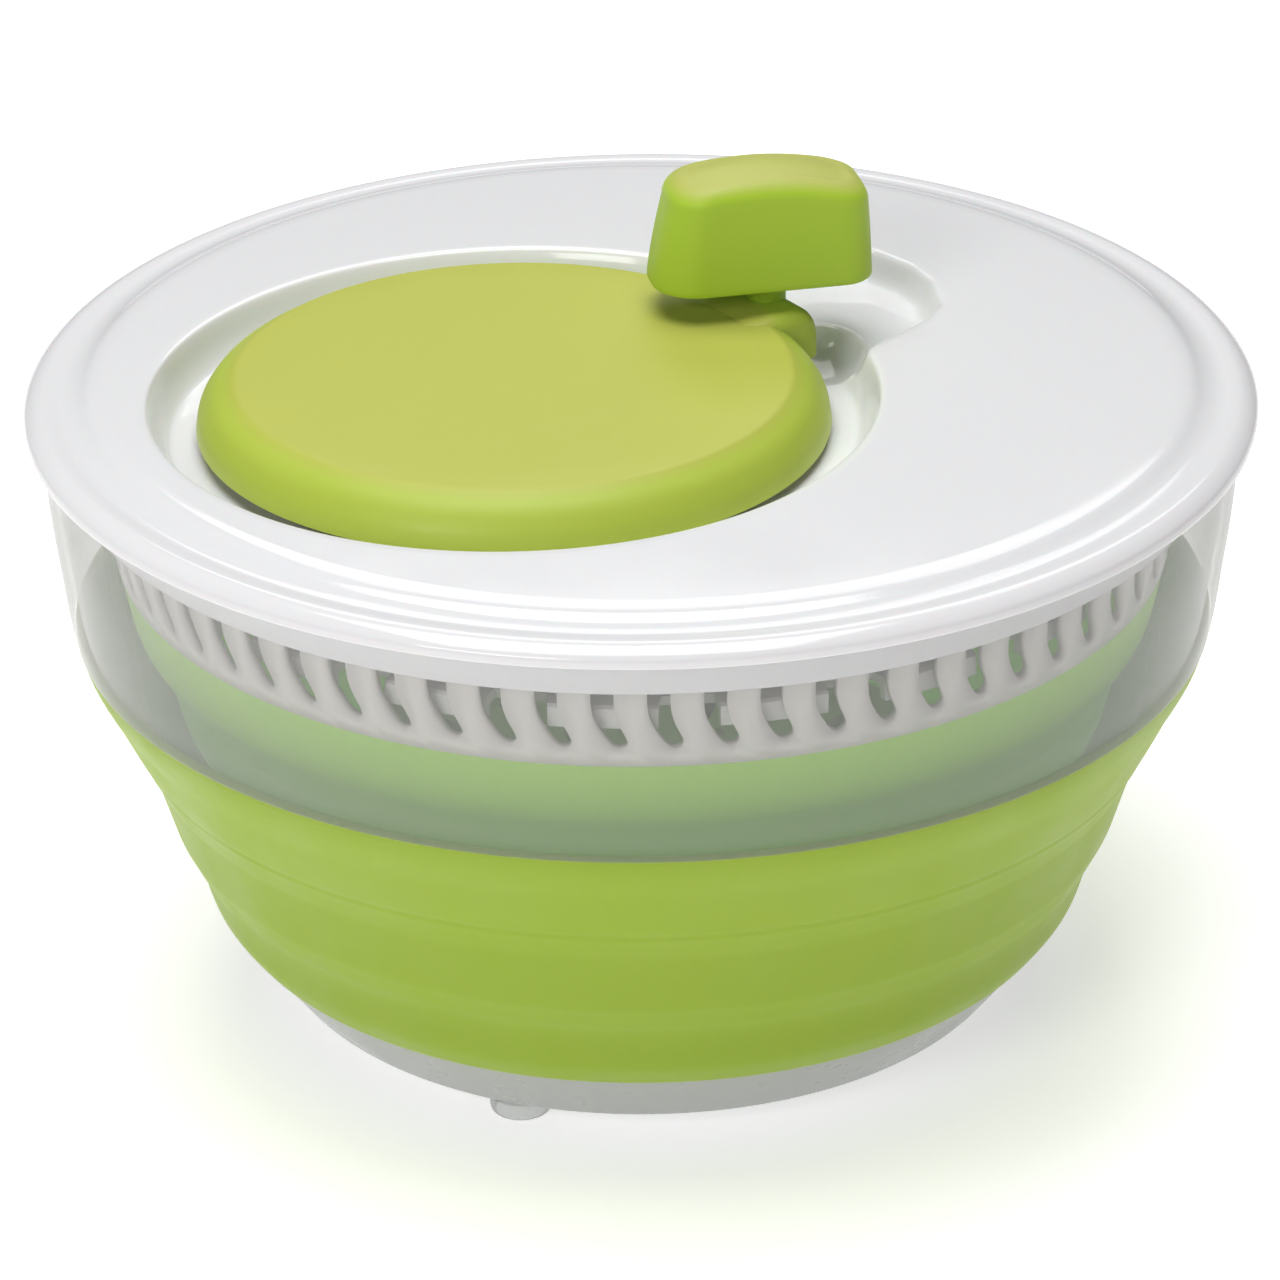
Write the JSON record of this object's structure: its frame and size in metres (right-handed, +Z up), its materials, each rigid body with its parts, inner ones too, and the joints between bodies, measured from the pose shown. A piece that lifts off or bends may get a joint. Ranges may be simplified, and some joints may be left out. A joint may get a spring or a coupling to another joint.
{
  "type": "salad spinner",
  "caption": "Collapsible salad spinner: folding silicone bowl and basket, slotted basket band, and a geared lid with an off-centre crank disc and upright knob.",
  "frame": {"origin": "centre of the footprint, on the plane the feet stand on; the lid and basket axis is x = y = 0", "axes": "+Z up along the bowl's and basket's axis, front of the pictured view at -Y, crank axle towards -X and slightly -Y"},
  "size_m": [0.26, 0.26, 0.18],
  "materials": {
    "frosted_plastic": "frosted translucent",
    "soft_foot": "translucent soft rubber",
    "steel": "plated",
    "lime_silicone": "satin silicone",
    "white_plastic": "glossy white",
    "gear_plastic": "natural satin",
    "lime_plastic": "satin lime green",
    "basket_plastic": "satin warm white"
  },
  "bodies": {
    "bowl_base": {"base_shell": "frosted_plastic", "foot_front": "soft_foot", "foot_right": "soft_foot", "foot_back": "soft_foot", "pivot_pin": "steel", "bowl_wall": "lime_silicone"},
    "bowl_rim": {"rim_ring": "frosted_plastic"},
    "lid": {"lid_shell": "white_plastic", "spindle_bush": "gear_plastic"},
    "crank": {"crank_disc": "lime_plastic", "ring_gear": "gear_plastic", "axle_washer": "steel", "axle_screw": "steel", "hinge_pin": "steel", "knob_post": "lime_plastic"},
    "knob_grip": {"knob": "lime_plastic"},
    "drive": {"pinion": "gear_plastic", "spindle": "gear_plastic", "drive_plate": "gear_plastic", "plate_screw": "steel", "plate_washer": "steel"},
    "basket_base": {"basket_floor": "basket_plastic", "pivot_cup": "gear_plastic", "basket_wall": "lime_silicone"},
    "basket_rim": {"basket_band": "basket_plastic"}
  },
  "joints": [
    {"name": "bowl_collapse", "type": "slide", "parent": "bowl_base", "child": "bowl_rim", "axis": [0, 0, 1], "range_m": [-0.055, 0], "deforming": ["bowl_wall"]},
    {"name": "lid_lift", "type": "slide", "parent": "bowl_rim", "child": "lid", "axis": [0, 0, 1], "range_m": [0, 0.2]},
    {"name": "crank_spin", "type": "hinge", "parent": "lid", "child": "crank", "pos_m": [-0.02653, -0.01294, 0.14], "axis": [0, 0, 1], "continuous": true},
    {"name": "knob_spin", "type": "hinge", "parent": "crank", "child": "knob_grip", "pos_m": [0.02702, 0.02318, 0.16], "axis": [0, 0, 1], "continuous": true},
    {"name": "drive_spin", "type": "hinge", "parent": "lid", "child": "drive", "pos_m": [0, 0, 0.128], "axis": [0, 0, 1], "continuous": true},
    {"name": "basket_spin", "type": "hinge", "parent": "bowl_base", "child": "basket_base", "pos_m": [0, 0, 0.02], "axis": [0, 0, 1], "continuous": true},
    {"name": "basket_collapse", "type": "slide", "parent": "basket_base", "child": "basket_rim", "axis": [0, 0, 1], "range_m": [-0.055, 0], "deforming": ["basket_wall"]}
  ],
  "couplings": [
    {"joint": "drive_spin", "follows": "crank_spin", "ratio": 4},
    {"joint": "basket_spin", "follows": "crank_spin", "ratio": 4},
    {"joint": "basket_collapse", "follows": "bowl_collapse", "ratio": 1}
  ]
}
